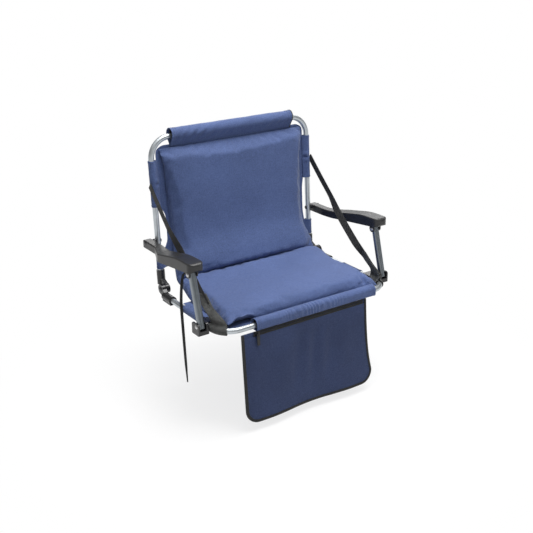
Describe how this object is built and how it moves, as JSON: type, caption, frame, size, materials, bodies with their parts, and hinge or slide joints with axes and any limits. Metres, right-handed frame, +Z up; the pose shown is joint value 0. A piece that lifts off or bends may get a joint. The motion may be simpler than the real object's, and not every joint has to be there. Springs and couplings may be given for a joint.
{
  "type": "bleacher seat",
  "caption": "Folding padded bleacher seat: cushioned seat and back on bent tubes, armrests on folding posts, side straps and a zipped pouch hanging in front.",
  "frame": {"origin": "middle of the bench plane under the four feet, halfway between the front bar and the foot of the back", "axes": "+Z up, the sitter faces -Y, +X to the sitter's left"},
  "size_m": [0.614, 0.4028, 0.6787],
  "materials": {
    "tube_paint": "silver-grey satin paint",
    "post_aluminium": "drawn, satin",
    "hinge_plastic": "moulded, slightly glossy",
    "arm_plastic": "fine moulded grain",
    "steel": "zinc plated",
    "blue_cloth": "coarse polyester weave",
    "foam": "open foam",
    "black_webbing": "woven tape",
    "pouch_cloth": "thin coated weave",
    "zip_black": "black zip"
  },
  "bodies": {
    "seat": {"seat_frame_tube": "tube_paint", "hinge_seat_socket_left": "hinge_plastic", "hinge_seat_socket_right": "hinge_plastic", "hinge_pins": "steel", "hinge_washers": "hinge_plastic", "foot_screws": "steel", "post_bracket_left": "hinge_plastic", "post_bracket_right": "hinge_plastic", "post_lower_pins": "steel", "seat_panel": "blue_cloth", "seat_cushion_cover": "blue_cloth", "seat_cushion_foam": "foam", "seat_sleeve_left": "blue_cloth", "seat_sleeve_right": "blue_cloth", "front_sleeve": "blue_cloth", "cushion_fold": "blue_cloth", "strap_anchor_left": "black_webbing", "strap_anchor_right": "black_webbing", "strap_left": "black_webbing", "strap_right": "black_webbing", "strap_tail_left": "black_webbing"},
    "back": {"back_frame_tube": "tube_paint", "hinge_back_socket_left": "hinge_plastic", "hinge_back_socket_right": "hinge_plastic", "back_socket_rivets": "steel", "back_panel": "blue_cloth", "back_cushion_cover": "blue_cloth", "back_cushion_foam": "foam", "top_sleeve": "blue_cloth", "upper_side_sleeve_left": "blue_cloth", "upper_side_sleeve_right": "blue_cloth", "lower_side_sleeve_left": "blue_cloth", "lower_side_sleeve_right": "blue_cloth", "arm_pivot_pins": "steel", "arm_spacers": "hinge_plastic"},
    "arm_left": {"armrest_left": "arm_plastic", "arm_front_rivet_left": "steel"},
    "arm_right": {"armrest_right": "arm_plastic", "arm_front_rivet_right": "steel"},
    "post_left": {"arm_post_left": "post_aluminium"},
    "post_right": {"arm_post_right": "post_aluminium"},
    "pouch": {"pouch_back_panel": "pouch_cloth", "pouch_front_panel": "pouch_cloth", "pouch_binding": "black_webbing", "zipper_tape": "zip_black", "zipper_coil": "zip_black"},
    "slider": {"zipper_slider": "zip_black"},
    "pull": {"zipper_pull": "zip_black"}
  },
  "joints": [
    {"name": "back_fold", "type": "hinge", "parent": "seat", "child": "back", "pos_m": [0, 0.14, 0.026], "axis": [1, 0, 0], "range_deg": [0, 80], "deforming": ["strap_left", "strap_right", "cushion_fold", "strap_tail_left"]},
    {"name": "post_fold_left", "type": "hinge", "parent": "seat", "child": "post_left", "pos_m": [-0.286, -0.11123, 0.022], "axis": [1, 0, 0], "range_deg": [0, 80]},
    {"name": "post_fold_right", "type": "hinge", "parent": "seat", "child": "post_right", "pos_m": [0.286, -0.11123, 0.022], "axis": [1, 0, 0], "range_deg": [0, 80]},
    {"name": "arm_pivot_left", "type": "hinge", "parent": "back", "child": "arm_left", "pos_m": [-0.2705, 0.17323, 0.15], "axis": [1, 0, 0], "range_deg": [-80, 0]},
    {"name": "arm_pivot_right", "type": "hinge", "parent": "back", "child": "arm_right", "pos_m": [0.2705, 0.17323, 0.15], "axis": [1, 0, 0], "range_deg": [-80, 0]},
    {"name": "pouch_swing", "type": "hinge", "parent": "seat", "child": "pouch", "pos_m": [-0.012, -0.17759, 0.00128], "axis": [-1, 0, 0], "range_deg": [0, 80]},
    {"name": "zipper_slide", "type": "slide", "parent": "pouch", "child": "slider", "axis": [1, 0, 0], "range_m": [0, 0.32]},
    {"name": "zipper_pull_swing", "type": "hinge", "parent": "slider", "child": "pull", "pos_m": [-0.1685, -0.1829, -0.00436], "axis": [-1, 0, 0], "range_deg": [0, 100]}
  ],
  "couplings": [
    {"joint": "post_fold_left", "follows": "back_fold", "ratio": 1},
    {"joint": "post_fold_right", "follows": "back_fold", "ratio": 1},
    {"joint": "arm_pivot_left", "follows": "back_fold", "ratio": -1},
    {"joint": "arm_pivot_right", "follows": "back_fold", "ratio": -1}
  ]
}
